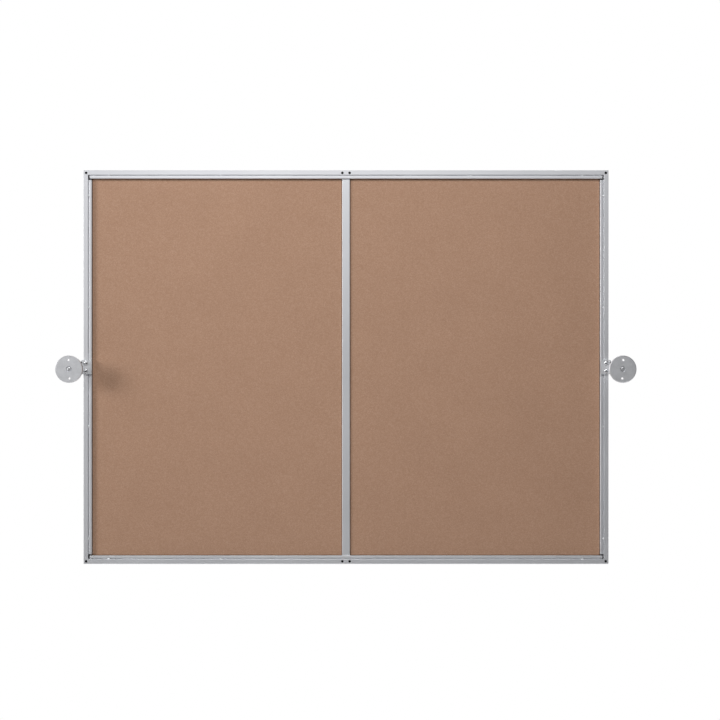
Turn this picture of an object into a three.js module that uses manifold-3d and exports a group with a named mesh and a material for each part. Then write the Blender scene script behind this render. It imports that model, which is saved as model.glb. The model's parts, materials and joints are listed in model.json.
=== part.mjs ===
// Framed cork board held off a wall by a tilting mount at mid-height on each side.
// Units are millimetres. X runs to the right, Z up, and Y away from the wall, whose face is the plane y = 0.
// The origin lies on the wall, midway between the two wall plates.

import * as THREE from 'three';
import { mergeVertices } from 'three/addons/utils/BufferGeometryUtils.js';
import Module from 'manifold-3d';

const wasm = await Module();
wasm.setup();

// ---- driving dimensions ----

const BOARD_WIDTH = 1200;
const BOARD_HEIGHT = 900;
const FRAME_DEPTH = 22;
const STAND_OFF = 45; // wall to the frame's rear face

const BAND_WIDTH = 10.6; // hollow outer band of the frame section
const GROOVE_WIDTH = 1.9; // between the outer band and the bead's face
const BEAD_FACE_WIDTH = 6.5;
const SECTION_WALL = 1.5;
const LIP_THICKNESS = 1.6; // front lip that the panels rest against
const EDGE_CHAMFER = 0.6;

const BEAD_SET_BACK = 0.5; // bead face behind the frame's rear face
const BEAD_HEIGHT = 6.3;
const GROOVE_DEPTH = 2.4;
const BEAD_WALL = 1.3;
const BEAD_CHAMFER = 0.9;
const BEAD_END_GAP = 3.3; // open gap past the end of each bead

const CORK_THICKNESS = 2.4;
const PANEL_EDGE_PLAY = 2;
const PANEL_CORNER_CLIP = 12.4;

const BAR_WIDTH = 18;
const BAR_RISE = 3.1; // face of the centre bar above the rear cork
const BAR_WALL = 1.5;
const BAR_WEB_WIDTH = 8;
const BAR_ROOT = 0.5; // extra metal where the bar's hollow meets its flanges

const KEY_LEG = 42;
const CONNECTOR_LENGTH = 50;
const TONGUE_REACH = 26; // length of the connector inside the centre bar
const TONGUE_WIDTH = 4.4;

const DARK_SCREW_OFFSET = 0.7; // from the middle of the frame's outer band, inwards
const DARK_SCREW_HEAD_RADIUS = 2.8;
const DARK_SCREW_SHANK_RADIUS = 1.6;
const DARK_SCREW_LENGTH = 13;
const BAR_SCREW_SPACING = 16.6;

const PLATE_RADIUS = 31;
const PLATE_THICKNESS = 4;
const PLATE_OVERHANG = 27; // from the board's edge to the wall plate's centre
const PLATE_DROP = 4.5; // wall plates' centres below the board's middle
const PLATE_BEVEL = 1.4;
const PLATE_HOLE_SPACING = 42;
const PLATE_HOLE_RADIUS = 2.5;
const PLATE_TURN = 3 * Math.PI / 180; // the upper hole leans outwards by this much

const CENTRE_SCREW_RADIUS = 3;
const CENTRE_HEAD_RADIUS = 5;
const CENTRE_HEAD_HEIGHT = 2;
const RECESS_RADIUS = 6.3;
const CENTRE_SCREW_REACH = 12; // length of thread inside the post

const POST_RADIUS = 9;
const POST_CHAMFER = 0.8;
const WASHER_THICKNESS = 1;
const TONGUE_THICKNESS = 8;
const TONGUE_RADIUS = 7;
const PIVOT_STAND_OFF = 30; // wall to the tilt bolt's axis

const BOLT_RADIUS = 3;
const BOLT_HEAD_RADIUS = 5;
const BOLT_HEAD_LENGTH = 4;
const NUT_RADIUS = 5.6;
const NUT_LENGTH = 4.5;
const CHEEK_THICKNESS = 4;
const CHEEK_RADIUS = 8;
const SWING_GAP = 1.5; // room round the pivot for the tilt

const ARM_THICKNESS = 3;
const ARM_HEIGHT = 32.5;
const ARM_CORNER_RADIUS = 1.5;
const ARM_OUTER_REACH = 20; // arm plate past the wall plate's centre
const NECK_HEIGHT = 26; // arm plate beyond the frame
const SHOULDER_START = 3.5; // from the board's edge to where the arm plate narrows
const BLOCK_FLANGE = 3;
const BLOCK_SIDE_MARGIN = 0.3; // clevis block short of the neck's edges
const BLOCK_MARGIN = 1.5; // block short of the frame's edge and of the arm's end

const ARM_SCREW_SPACING = 18;
const ARM_SCREW_HEAD_RADIUS = 4.5;
const ARM_SCREW_HEAD_HEIGHT = 2.8;
const ARM_SCREW_RADIUS = 2.35;
const ARM_SCREW_LENGTH = 16;
const RIVET_RADIUS = 1.8;
const RIVET_HEAD_RADIUS = 2.1;
const RIVET_HEAD_HEIGHT = 0.5;
const RIVET_INSET = 3; // from the block's ends to the rivets
const RIVET_RISE = 10.4;

const GAP = 0.3; // between pieces that touch
const HOLE_CLEARANCE = 0.15; // radial, round a screw or rivet
const BEARING_CLEARANCE = 0.08; // radial, where one piece turns in another
const MITRE_GAP = 0.15; // each side of a mitred joint
const ROUND_SEGMENTS = 32;
const SMALL_SEGMENTS = 20;

// ---- values worked out from them ----

const halfWidth = BOARD_WIDTH / 2;
const halfHeight = BOARD_HEIGHT / 2;
const rearFace = STAND_OFF;
const frontFace = rearFace + FRAME_DEPTH;
const beadEdge = BAND_WIDTH + GROOVE_WIDTH; // from the frame's outer edge to the bead's face
const sightEdge = beadEdge + BEAD_FACE_WIDTH; // from the frame's outer edge to where its metal ends
const lipInner = frontFace - LIP_THICKNESS;

const beadBack = rearFace + BEAD_SET_BACK + BEAD_HEIGHT;
const rearCorkFace = beadBack + GAP;
const frontCorkFace = lipInner - GAP;
const panelEdge = BAND_WIDTH + PANEL_EDGE_PLAY;
const panelInnerEdge = BAR_WEB_WIDTH / 2 + 2 * GAP;

const pivotX = halfWidth + PLATE_OVERHANG;
const pivotZ = -PLATE_DROP;
const armFront = rearFace - GAP;
const armRear = armFront - ARM_THICKNESS;
const blockFront = armRear - GAP;
const blockRear = blockFront - BLOCK_FLANGE;
const washerInner = TONGUE_THICKNESS / 2 + GAP;
const cheekInner = washerInner + WASHER_THICKNESS + GAP;
const cheekOuter = cheekInner + CHEEK_THICKNESS;
const postRear = PLATE_THICKNESS + GAP + WASHER_THICKNESS + GAP;
const postShoulder = PIVOT_STAND_OFF - CHEEK_RADIUS - SWING_GAP;
const blockInner = halfWidth + BLOCK_MARGIN;
const armOuter = pivotX + ARM_OUTER_REACH;
const blockOuter = armOuter - BLOCK_MARGIN;

// ---- materials ----

function finish(color, roughness, metalness) {
  return new THREE.MeshStandardMaterial({ color, roughness, metalness });
}

const looks = {
  frame: finish(0xc4c5c8, 0.42, 0.85),
  mount: finish(0xa8a9ac, 0.45, 0.8),
  bright: finish(0xd6d7d9, 0.25, 1),
  dark: finish(0x121212, 0.5, 0.2),
  cork: finish(0xa5826c, 0.95, 0),
  core: finish(0x8b7355, 0.9, 0),
  plastic: finish(0x1c1c1e, 0.6, 0),
  nylon: finish(0xe6e4da, 0.5, 0),
};

// ---- geometry helpers ----

const X = new THREE.Vector3(1, 0, 0);
const Y = new THREE.Vector3(0, 1, 0);
const Z = new THREE.Vector3(0, 0, 1);

function outline(points) {
  return new THREE.Shape(points.map(([a, b]) => new THREE.Vector2(a, b)));
}

function rectangle(a0, b0, a1, b1) {
  return [[a0, b0], [a1, b0], [a1, b1], [a0, b1]];
}

function extrusion(shape, from, to) {
  const geometry = new THREE.ExtrudeGeometry(shape, { depth: to - from, bevelEnabled: false });
  return geometry.translate(0, 0, from);
}

// A shape drawn in (x, z), filling the depths from y0 to y1.
function slab(shape, y0, y1) {
  const geometry = extrusion(shape, 0, y1 - y0);
  return geometry.rotateX(Math.PI / 2).translate(0, y1, 0);
}

// A shape drawn in (y, z), running from x0 to x1.
function crossSlab(shape, x0, x1) {
  const geometry = extrusion(shape, 0, x1 - x0);
  return geometry.applyMatrix4(new THREE.Matrix4().makeBasis(Y, Z, X)).translate(x0, 0, 0);
}

function box(x0, x1, y0, y1, z0, z1) {
  const geometry = new THREE.BoxGeometry(x1 - x0, y1 - y0, z1 - z0);
  return geometry.translate((x0 + x1) / 2, (y0 + y1) / 2, (z0 + z1) / 2);
}

// A turned piece about a line along Y through (x, z); the profile lists [radius, y] from axis to axis.
function turned(profile, x, z, segments = ROUND_SEGMENTS) {
  const points = profile.map(([radius, y]) => new THREE.Vector2(radius, y));
  return new THREE.LatheGeometry(points, segments).translate(x, 0, z);
}

function rodAlongY(radius, x, z, y0, y1, segments = SMALL_SEGMENTS) {
  return new THREE.CylinderGeometry(radius, radius, y1 - y0, segments).translate(x, (y0 + y1) / 2, z);
}

function rodAlongX(radius, x0, x1, y, z, segments = ROUND_SEGMENTS) {
  const geometry = new THREE.CylinderGeometry(radius, radius, Math.abs(x1 - x0), segments);
  return geometry.rotateZ(Math.PI / 2).translate((x0 + x1) / 2, y, z);
}

function solid(geometry) {
  const bare = geometry.clone();
  bare.deleteAttribute('normal');
  bare.deleteAttribute('uv');
  const merged = mergeVertices(bare, 1e-5);
  const index = merged.index.array;
  const kept = [];
  for (let i = 0; i < index.length; i += 3) {
    const [a, b, c] = [index[i], index[i + 1], index[i + 2]];
    if (a !== b && b !== c && c !== a) kept.push(a, b, c);
  }
  const vertProperties = new Float32Array(merged.attributes.position.array);
  return new wasm.Manifold(new wasm.Mesh({ numProp: 3, vertProperties, triVerts: new Uint32Array(kept) }));
}

function geometryOf(manifold) {
  const mesh = manifold.getMesh();
  const geometry = new THREE.BufferGeometry();
  geometry.setAttribute('position', new THREE.BufferAttribute(new Float32Array(mesh.vertProperties), 3));
  geometry.setIndex(new THREE.BufferAttribute(new Uint32Array(mesh.triVerts), 1));
  geometry.computeVertexNormals();
  return geometry;
}

function carved(base, cuts) {
  return geometryOf(cuts.reduce((body, cut) => body.subtract(solid(cut)), solid(base)));
}

function joined(pieces) {
  return pieces.map(solid).reduce((body, piece) => body.add(piece));
}

const board = new THREE.Group();

function add(name, geometry, look) {
  const mesh = new THREE.Mesh(geometry, look);
  mesh.name = name;
  board.add(mesh);
}

// ---- the four frame sections and their beads ----

// Each side of the frame runs along w from a corner; u points from the outer edge inwards, and v along Y.
const sides = [
  { name: 'top', corner: [-halfWidth, halfHeight], u: [0, -1], w: [1, 0], length: BOARD_WIDTH },
  { name: 'bottom', corner: [halfWidth, -halfHeight], u: [0, 1], w: [-1, 0], length: BOARD_WIDTH },
  { name: 'left', corner: [-halfWidth, -halfHeight], u: [1, 0], w: [0, 1], length: BOARD_HEIGHT },
  { name: 'right', corner: [halfWidth, halfHeight], u: [-1, 0], w: [0, -1], length: BOARD_HEIGHT },
];

function ontoSide(geometry, side) {
  const toWorld = new THREE.Matrix4().makeBasis(
    new THREE.Vector3(side.u[0], 0, side.u[1]),
    Y,
    new THREE.Vector3(side.w[0], 0, side.w[1]),
  );
  toWorld.setPosition(side.corner[0], rearFace, side.corner[1]);
  return geometry.applyMatrix4(toWorld);
}

// Slants both ends of a straight section at 45 degrees, so that the next side of the frame meets it.
function mitred(geometry, length) {
  const position = geometry.attributes.position;
  for (let i = 0; i < position.count; i += 1) {
    const slant = position.getX(i) + MITRE_GAP;
    const along = position.getZ(i);
    position.setZ(i, along < length / 2 ? along + slant : along - slant);
  }
  return geometry;
}

function frameSection() {
  const c = EDGE_CHAMFER;
  const lip = FRAME_DEPTH - LIP_THICKNESS;
  const shape = outline([
    [0, c], [c, 0], [BAND_WIDTH - c, 0], [BAND_WIDTH, c], [BAND_WIDTH, lip],
    [sightEdge, lip], [sightEdge, FRAME_DEPTH - c], [sightEdge - c, FRAME_DEPTH],
    [c, FRAME_DEPTH], [0, FRAME_DEPTH - c],
  ]);
  const hollow = rectangle(SECTION_WALL, SECTION_WALL, BAND_WIDTH - SECTION_WALL, FRAME_DEPTH - SECTION_WALL);
  shape.holes.push(outline(hollow.reverse()));
  return shape;
}

function beadSection() {
  const face = BEAD_SET_BACK;
  const back = face + BEAD_HEIGHT;
  const c = BEAD_CHAMFER;
  const t = BEAD_WALL;
  const foot = BAND_WIDTH + GAP;
  return outline([
    [beadEdge, face + c], [beadEdge + c, face], [sightEdge - c, face], [sightEdge, face + c],
    [sightEdge, back], [sightEdge - t, back], [sightEdge - t, face + t], [beadEdge + t, face + t],
    [beadEdge + t, GROOVE_DEPTH + t], [foot + t, GROOVE_DEPTH + t], [foot + t, back],
    [foot, back], [foot, GROOVE_DEPTH], [beadEdge, GROOVE_DEPTH],
  ]);
}

// Places of the dark screws: one in each corner, and two at each end of the centre bar.
const darkScrewInset = BAND_WIDTH / 2 + DARK_SCREW_OFFSET;
const cornerScrewX = halfWidth - darkScrewInset;
const cornerScrewZ = halfHeight - darkScrewInset;
const cornerScrews = [
  ['top_left', -cornerScrewX, cornerScrewZ],
  ['top_right', cornerScrewX, cornerScrewZ],
  ['bottom_left', -cornerScrewX, -cornerScrewZ],
  ['bottom_right', cornerScrewX, -cornerScrewZ],
];
const barScrews = [
  ['top_1', -BAR_SCREW_SPACING / 2, cornerScrewZ],
  ['top_2', BAR_SCREW_SPACING / 2, cornerScrewZ],
  ['bottom_1', -BAR_SCREW_SPACING / 2, -cornerScrewZ],
  ['bottom_2', BAR_SCREW_SPACING / 2, -cornerScrewZ],
];
const darkScrews = [...cornerScrews, ...barScrews];
const armScrewX = halfWidth - BAND_WIDTH / 2;
const tongueFront = lipInner - 2 * BAR_WALL;
const tongueRear = rearCorkFace;

function railCuts(side) {
  const onSide = ([, x, z]) => (side.u[0] === 0
    ? Math.sign(z) === Math.sign(side.corner[1]) && halfHeight - Math.abs(z) < BAND_WIDTH
    : Math.sign(x) === Math.sign(side.corner[0]) && halfWidth - Math.abs(x) < BAND_WIDTH);
  const wallEnd = rearFace + SECTION_WALL + GAP;
  const cuts = darkScrews.filter(onSide).map(([, x, z]) => (
    rodAlongY(DARK_SCREW_HEAD_RADIUS + HOLE_CLEARANCE, x, z, rearFace - 1, wallEnd)));
  if (side.u[0] === 0) {
    const half = TONGUE_WIDTH / 2 + GAP;
    const reach = halfHeight - BAND_WIDTH + SECTION_WALL + GAP;
    const top = side.u[1] < 0;
    const inner = halfHeight - BAND_WIDTH - GAP;
    const [z0, z1] = top ? [inner, reach] : [-reach, -inner];
    cuts.push(box(-half, half, tongueRear - GAP, tongueFront + GAP, z0, z1));
  } else {
    for (const z of [-ARM_SCREW_SPACING / 2, ARM_SCREW_SPACING / 2]) {
      const x = Math.sign(side.corner[0]) * armScrewX;
      cuts.push(rodAlongY(ARM_SCREW_RADIUS + HOLE_CLEARANCE, x, z, rearFace - 1, wallEnd));
    }
  }
  return cuts;
}

for (const side of sides) {
  const section = ontoSide(mitred(extrusion(frameSection(), 0, side.length), side.length), side);
  add(`${side.name}_${side.u[0] === 0 ? 'rail' : 'stile'}`, carved(section, railCuts(side)), looks.frame);
  const start = side.u[0] === 0 ? BAND_WIDTH + BEAD_END_GAP : sightEdge + BEAD_END_GAP;
  const bead = ontoSide(extrusion(beadSection(), start, side.length - start), side);
  add(`${side.name}_bead`, bead, looks.frame);
}

// ---- corner keys, centre bar, its connectors and the dark screws ----

const keyOuter = SECTION_WALL + GAP;
const keyInner = BAND_WIDTH - SECTION_WALL - GAP;
const keyRear = rearFace + SECTION_WALL + GAP;
const keyFront = frontFace - SECTION_WALL - GAP;
const screwBore = DARK_SCREW_SHANK_RADIUS + HOLE_CLEARANCE;

for (const [name, x, z] of cornerScrews) {
  const [sx, sz] = [Math.sign(x), Math.sign(z)];
  const place = ([a, b]) => [sx * (halfWidth - a), sz * (halfHeight - b)];
  const ell = [
    [keyOuter, keyOuter], [KEY_LEG, keyOuter], [KEY_LEG, keyInner],
    [keyInner, keyInner], [keyInner, KEY_LEG], [keyOuter, KEY_LEG],
  ];
  const key = slab(outline(ell.map(place)), keyRear, keyFront);
  const bore = rodAlongY(screwBore, x, z, keyRear - 1, keyFront + 1);
  add(`${name}_corner_key`, carved(key, [bore]), looks.plastic);
}

function centreBarSection() {
  const half = BAR_WIDTH / 2;
  const web = BAR_WEB_WIDTH / 2;
  const face = rearCorkFace - BAR_RISE;
  const under = face + BAR_WALL;
  const c = BEAD_CHAMFER;
  const right = [
    [half - c, face], [half, face + c], [half, rearCorkFace - GAP], [half - BAR_WALL, rearCorkFace - GAP],
    [half - BAR_WALL, under], [web, under], [web, lipInner], [half, lipInner], [half, frontFace],
  ];
  const left = right.map(([x, y]) => [-x, y]).reverse();
  const shape = outline([...right, ...left]);
  const hole = rectangle(-web + BAR_WALL, under + BAR_ROOT, web - BAR_WALL, lipInner - BAR_ROOT);
  shape.holes.push(outline(hole.reverse()));
  return shape;
}

const barHalfLength = halfHeight - sightEdge - GAP;
add('centre_bar', extrusion(centreBarSection(), -barHalfLength, barHalfLength), looks.frame);

for (const end of ['top', 'bottom']) {
  const up = end === 'top' ? 1 : -1;
  const span = (a, b) => [Math.min(up * a, up * b), Math.max(up * a, up * b)];
  const [barLow, barHigh] = span(halfHeight - keyOuter, halfHeight - keyInner);
  const [tongueLow, tongueHigh] = span(halfHeight - keyInner + 1, barHalfLength - TONGUE_REACH);
  const half = CONNECTOR_LENGTH / 2;
  const tee = geometryOf(joined([
    box(-half, half, keyRear, keyFront, barLow, barHigh),
    box(-TONGUE_WIDTH / 2, TONGUE_WIDTH / 2, tongueRear, tongueFront, tongueLow, tongueHigh),
  ]));
  const bores = barScrews.filter(([, , z]) => Math.sign(z) === up).map(([, x, z]) => (
    rodAlongY(screwBore, x, z, keyRear - 1, keyFront + 1)));
  add(`${end}_bar_connector`, carved(tee, bores), looks.plastic);
}

function darkScrew(x, z) {
  const head = keyRear - GAP;
  return turned([
    [0, rearFace - GAP], [DARK_SCREW_HEAD_RADIUS - 0.5, rearFace - GAP], [DARK_SCREW_HEAD_RADIUS, rearFace],
    [DARK_SCREW_HEAD_RADIUS, head], [DARK_SCREW_SHANK_RADIUS, head],
    [DARK_SCREW_SHANK_RADIUS, head + DARK_SCREW_LENGTH - 1], [0, head + DARK_SCREW_LENGTH],
  ], x, z, SMALL_SEGMENTS);
}

for (const [name, x, z] of cornerScrews) add(`${name}_corner_screw`, darkScrew(x, z), looks.dark);
for (const [name, x, z] of barScrews) add(`bar_screw_${name}`, darkScrew(x, z), looks.dark);

// ---- the two panels, each a core board with cork on both faces ----

function panelOutline(side) {
  const outer = halfWidth - panelEdge;
  const top = halfHeight - panelEdge;
  const c = PANEL_CORNER_CLIP;
  const points = [
    [panelInnerEdge, -top], [outer - c, -top], [outer, -top + c],
    [outer, top - c], [outer - c, top], [panelInnerEdge, top],
  ];
  return outline(points.map(([x, z]) => [side * x, z]));
}

const rearCorkBack = rearCorkFace + CORK_THICKNESS;
const frontCorkBack = frontCorkFace - CORK_THICKNESS;
const coreRear = rearCorkBack + GAP;
const coreFront = frontCorkBack - GAP;

for (const [name, side] of [['left', -1], ['right', 1]]) {
  add(`${name}_rear_cork`, slab(panelOutline(side), rearCorkFace, rearCorkBack), looks.cork);
  add(`${name}_core_board`, slab(panelOutline(side), coreRear, coreFront), looks.core);
  add(`${name}_front_cork`, slab(panelOutline(side), frontCorkBack, frontCorkFace), looks.cork);
}

// ---- the two wall mounts ----

function pivotRod(radius, x0, x1, segments = ROUND_SEGMENTS) {
  return rodAlongX(radius, x0, x1, PIVOT_STAND_OFF, pivotZ, segments);
}

function wallPlate(side) {
  const x = side * pivotX;
  const recessFloor = PLATE_THICKNESS / 2 + GAP;
  const disc = turned([
    [0, 0], [PLATE_RADIUS - PLATE_BEVEL, 0], [PLATE_RADIUS, PLATE_BEVEL],
    [PLATE_RADIUS, PLATE_THICKNESS], [0, PLATE_THICKNESS],
  ], x, pivotZ, 64);
  const holes = [-1, 1].map((end) => {
    const reach = end * PLATE_HOLE_SPACING / 2;
    const holeX = x + side * reach * Math.sin(PLATE_TURN);
    const holeZ = pivotZ + reach * Math.cos(PLATE_TURN);
    return rodAlongY(PLATE_HOLE_RADIUS, holeX, holeZ, -1, PLATE_THICKNESS + 1, 24);
  });
  return carved(disc, [
    rodAlongY(RECESS_RADIUS, x, pivotZ, -1, recessFloor, ROUND_SEGMENTS),
    rodAlongY(CENTRE_SCREW_RADIUS + BEARING_CLEARANCE, x, pivotZ, -1, PLATE_THICKNESS + 1, ROUND_SEGMENTS),
    ...holes,
  ]);
}

function centreScrew(x) {
  const rear = GAP;
  const front = rear + CENTRE_HEAD_HEIGHT;
  const shank = CENTRE_SCREW_RADIUS;
  const tip = postRear + CENTRE_SCREW_REACH;
  return turned([
    [0, rear], [CENTRE_HEAD_RADIUS - 0.6, rear], [CENTRE_HEAD_RADIUS, rear + 0.6],
    [CENTRE_HEAD_RADIUS, front], [shank, front], [shank, tip - 1], [0, tip],
  ], x, pivotZ);
}

function swivelWasher(x) {
  const outer = POST_RADIUS - POST_CHAMFER;
  const inner = CENTRE_SCREW_RADIUS + BEARING_CLEARANCE;
  const rear = PLATE_THICKNESS + GAP;
  const front = rear + WASHER_THICKNESS;
  return turned([[inner, rear], [outer, rear], [outer, front], [inner, front], [inner, rear]], x, pivotZ);
}

// The side view of an ear round the pivot: straight from depth y to the pivot, then a half circle.
function ear(y, radius) {
  const shape = new THREE.Shape();
  shape.moveTo(y, pivotZ - radius);
  shape.lineTo(PIVOT_STAND_OFF, pivotZ - radius);
  shape.absarc(PIVOT_STAND_OFF, pivotZ, radius, -Math.PI / 2, Math.PI / 2, y > PIVOT_STAND_OFF);
  shape.lineTo(y, pivotZ + radius);
  return shape;
}

function post(x) {
  const r = POST_RADIUS;
  const c = POST_CHAMFER;
  const half = TONGUE_THICKNESS / 2;
  const barrel = turned([
    [0, postRear], [r - c, postRear], [r, postRear + c],
    [r, postShoulder - c], [r - c, postShoulder], [0, postShoulder],
  ], x, pivotZ);
  const tongue = crossSlab(ear(postShoulder - 1, TONGUE_RADIUS), x - half, x + half);
  const screwBoreRadius = CENTRE_SCREW_RADIUS + BEARING_CLEARANCE;
  const screwBoreEnd = postRear + CENTRE_SCREW_REACH + GAP;
  return carved(geometryOf(joined([barrel, tongue])), [
    pivotRod(BOLT_RADIUS + BEARING_CLEARANCE, x - half - 1, x + half + 1),
    rodAlongY(screwBoreRadius, x, pivotZ, postRear - 1, screwBoreEnd, ROUND_SEGMENTS),
  ]);
}

// Two rivets on a diagonal of the block, the inner one above.
function rivetPlaces(side) {
  return [
    [side * (blockInner + RIVET_INSET), RIVET_RISE],
    [side * (blockOuter - RIVET_INSET), -RIVET_RISE],
  ];
}

function rivetBores(side, y0, y1) {
  return rivetPlaces(side).map(([x, z]) => rodAlongY(RIVET_RADIUS + HOLE_CLEARANCE, x, z, y0 - 1, y1 + 1));
}

function clevisBlock(side) {
  const half = NECK_HEIGHT / 2 - BLOCK_SIDE_MARGIN;
  const [x0, x1] = [side * blockInner, side * blockOuter].sort((a, b) => a - b);
  const cheeks = [-1, 1].map((hand) => {
    const edges = [pivotX + hand * cheekInner, pivotX + hand * cheekOuter].map((x) => side * x);
    return crossSlab(ear(blockRear + 1, CHEEK_RADIUS), Math.min(...edges), Math.max(...edges));
  });
  const body = geometryOf(joined([box(x0, x1, blockRear, blockFront, -half, half), ...cheeks]));
  const reach = cheekOuter + 1;
  const bolt = pivotRod(BOLT_RADIUS + BEARING_CLEARANCE, side * (pivotX - reach), side * (pivotX + reach));
  return carved(body, [bolt, ...rivetBores(side, blockRear, blockFront)]);
}

// A pad as wide as the frame's metal, shoulders at 45 degrees just past its edge, and a narrower neck to the block.
function armOutline(side) {
  const pad = ARM_HEIGHT / 2;
  const neck = NECK_HEIGHT / 2;
  const inner = halfWidth - sightEdge;
  const shoulder = halfWidth + SHOULDER_START;
  const r = ARM_CORNER_RADIUS;
  const upper = [
    [inner, pad - r], [inner + r * 0.3, pad - r * 0.3], [inner + r, pad],
    [shoulder, pad], [shoulder + pad - neck, neck],
    [armOuter - r, neck], [armOuter - r * 0.3, neck - r * 0.3], [armOuter, neck - r],
  ];
  const lower = upper.map(([x, z]) => [x, -z]).reverse();
  return outline([...upper, ...lower].map(([x, z]) => [side * x, z]));
}

function armPlate(side) {
  const bore = ARM_SCREW_RADIUS + HOLE_CLEARANCE;
  const screwBores = [-1, 1].map((end) => (
    rodAlongY(bore, side * armScrewX, end * ARM_SCREW_SPACING / 2, armRear - 1, armFront + 1)));
  const bores = [...screwBores, ...rivetBores(side, armRear, armFront)];
  return carved(slab(armOutline(side), armRear, armFront), bores);
}

function armScrew(x, z) {
  const seat = armRear - GAP;
  const crown = seat - ARM_SCREW_HEAD_HEIGHT;
  const head = ARM_SCREW_HEAD_RADIUS;
  const tip = seat + ARM_SCREW_LENGTH;
  return turned([
    [0, crown], [head * 0.6, crown + 0.3], [head * 0.9, crown + 1.1], [head, crown + 2], [head, seat],
    [ARM_SCREW_RADIUS, seat], [ARM_SCREW_RADIUS, tip - 3], [0, tip],
  ], x, z);
}

function rivet(x, z) {
  const seat = blockRear - GAP;
  const crown = seat - RIVET_HEAD_HEIGHT;
  const tail = armFront - GAP;
  return turned([
    [0, crown], [RIVET_HEAD_RADIUS - 0.5, crown], [RIVET_HEAD_RADIUS, seat],
    [RIVET_RADIUS, seat], [RIVET_RADIUS, tail], [0, tail],
  ], x, z, SMALL_SEGMENTS);
}

function tiltBolt(side) {
  const seat = pivotX + cheekOuter + GAP;
  const tip = pivotX - cheekOuter - GAP - NUT_LENGTH - 1;
  const shank = pivotRod(BOLT_RADIUS, side * tip, side * (seat + 1));
  const head = pivotRod(BOLT_HEAD_RADIUS, side * seat, side * (seat + BOLT_HEAD_LENGTH));
  return geometryOf(joined([shank, head]));
}

function tiltNut(side) {
  const seat = pivotX - cheekOuter - GAP;
  const end = seat - NUT_LENGTH;
  const hexagon = pivotRod(NUT_RADIUS, side * seat, side * end, 6);
  return carved(hexagon, [pivotRod(BOLT_RADIUS + BEARING_CLEARANCE, side * (seat + 1), side * (end - 1))]);
}

function frictionWasher(x0, x1) {
  const bore = pivotRod(BOLT_RADIUS + BEARING_CLEARANCE, x0 - 1, x1 + 1);
  return carved(pivotRod(TONGUE_RADIUS, x0, x1), [bore]);
}

for (const [name, side] of [['left', -1], ['right', 1]]) {
  const x = side * pivotX;
  add(`${name}_wall_plate`, wallPlate(side), looks.mount);
  add(`${name}_plate_screw`, centreScrew(x), looks.bright);
  add(`${name}_swivel_washer`, swivelWasher(x), looks.nylon);
  add(`${name}_post`, post(x), looks.mount);
  add(`${name}_clevis_block`, clevisBlock(side), looks.mount);
  add(`${name}_arm_plate`, armPlate(side), looks.mount);
  add(`${name}_arm_screw_upper`, armScrew(side * armScrewX, ARM_SCREW_SPACING / 2), looks.bright);
  add(`${name}_arm_screw_lower`, armScrew(side * armScrewX, -ARM_SCREW_SPACING / 2), looks.bright);
  const [innerRivet, outerRivet] = rivetPlaces(side);
  add(`${name}_block_rivet_inner`, rivet(...innerRivet), looks.dark);
  add(`${name}_block_rivet_outer`, rivet(...outerRivet), looks.dark);
  add(`${name}_tilt_bolt`, tiltBolt(side), looks.bright);
  add(`${name}_tilt_nut`, tiltNut(side), looks.bright);
  const washerOuter = washerInner + WASHER_THICKNESS;
  add(`${name}_friction_washer_1`, frictionWasher(x - washerOuter, x - washerInner), looks.nylon);
  add(`${name}_friction_washer_2`, frictionWasher(x + washerInner, x + washerOuter), looks.nylon);
}

// The pieces above are drawn about the board's middle; this puts the wall plates' centres at z = 0.
board.position.z = PLATE_DROP;

export default board;
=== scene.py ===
# %% [markdown]
# # A cork board that tilts on two wall mounts
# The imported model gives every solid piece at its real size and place. This lesson keeps those sizes and gives
# each piece the surface of the real thing: drawn and anodised aluminium, cast mounts, plated screws and cork.
# Lengths are in metres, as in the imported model: X runs along the board, Z up, and Y away from the wall.

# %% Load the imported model
import json
import math

import bmesh
import bpy
from mathutils import Euler, Matrix, Vector
from mathutils import noise as noise_field


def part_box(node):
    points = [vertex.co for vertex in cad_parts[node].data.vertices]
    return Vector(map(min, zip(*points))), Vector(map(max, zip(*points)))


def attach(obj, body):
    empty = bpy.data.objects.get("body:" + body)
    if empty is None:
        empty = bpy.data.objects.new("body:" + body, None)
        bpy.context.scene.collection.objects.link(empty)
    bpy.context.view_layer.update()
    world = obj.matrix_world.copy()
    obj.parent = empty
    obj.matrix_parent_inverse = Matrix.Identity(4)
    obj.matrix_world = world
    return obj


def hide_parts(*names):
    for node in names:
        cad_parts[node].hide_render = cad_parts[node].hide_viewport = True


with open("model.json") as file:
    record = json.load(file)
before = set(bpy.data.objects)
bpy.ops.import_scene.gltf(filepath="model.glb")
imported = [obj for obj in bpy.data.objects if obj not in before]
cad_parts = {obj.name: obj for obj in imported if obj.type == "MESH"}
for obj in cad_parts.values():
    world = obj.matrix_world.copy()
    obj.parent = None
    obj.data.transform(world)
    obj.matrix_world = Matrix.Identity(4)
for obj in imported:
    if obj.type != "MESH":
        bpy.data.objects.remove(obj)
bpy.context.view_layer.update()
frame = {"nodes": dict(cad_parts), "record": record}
MM = 0.001
record = frame["record"]
body_of = {node: body for body, nodes in record["behaviour"]["bodies"].items() for node in nodes}
slot_of = {part["node"]: part["material_slot"] for part in record["subparts"]}
print("pieces in the packed model:", len(body_of))

# %% [markdown]
# ## Places read from the model
# Nothing here is typed in twice: the frame's outer edges, its faces and the mounts' centres all come from the
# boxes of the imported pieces, so the looks follow the model if its sizes change.

# %% Measure the frame and the mounts
SIDES = {"left": -1, "right": 1}


def centre(node):
    low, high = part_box(node)
    return (low + high) / 2


def size(node):
    low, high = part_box(node)
    return high - low


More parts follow.
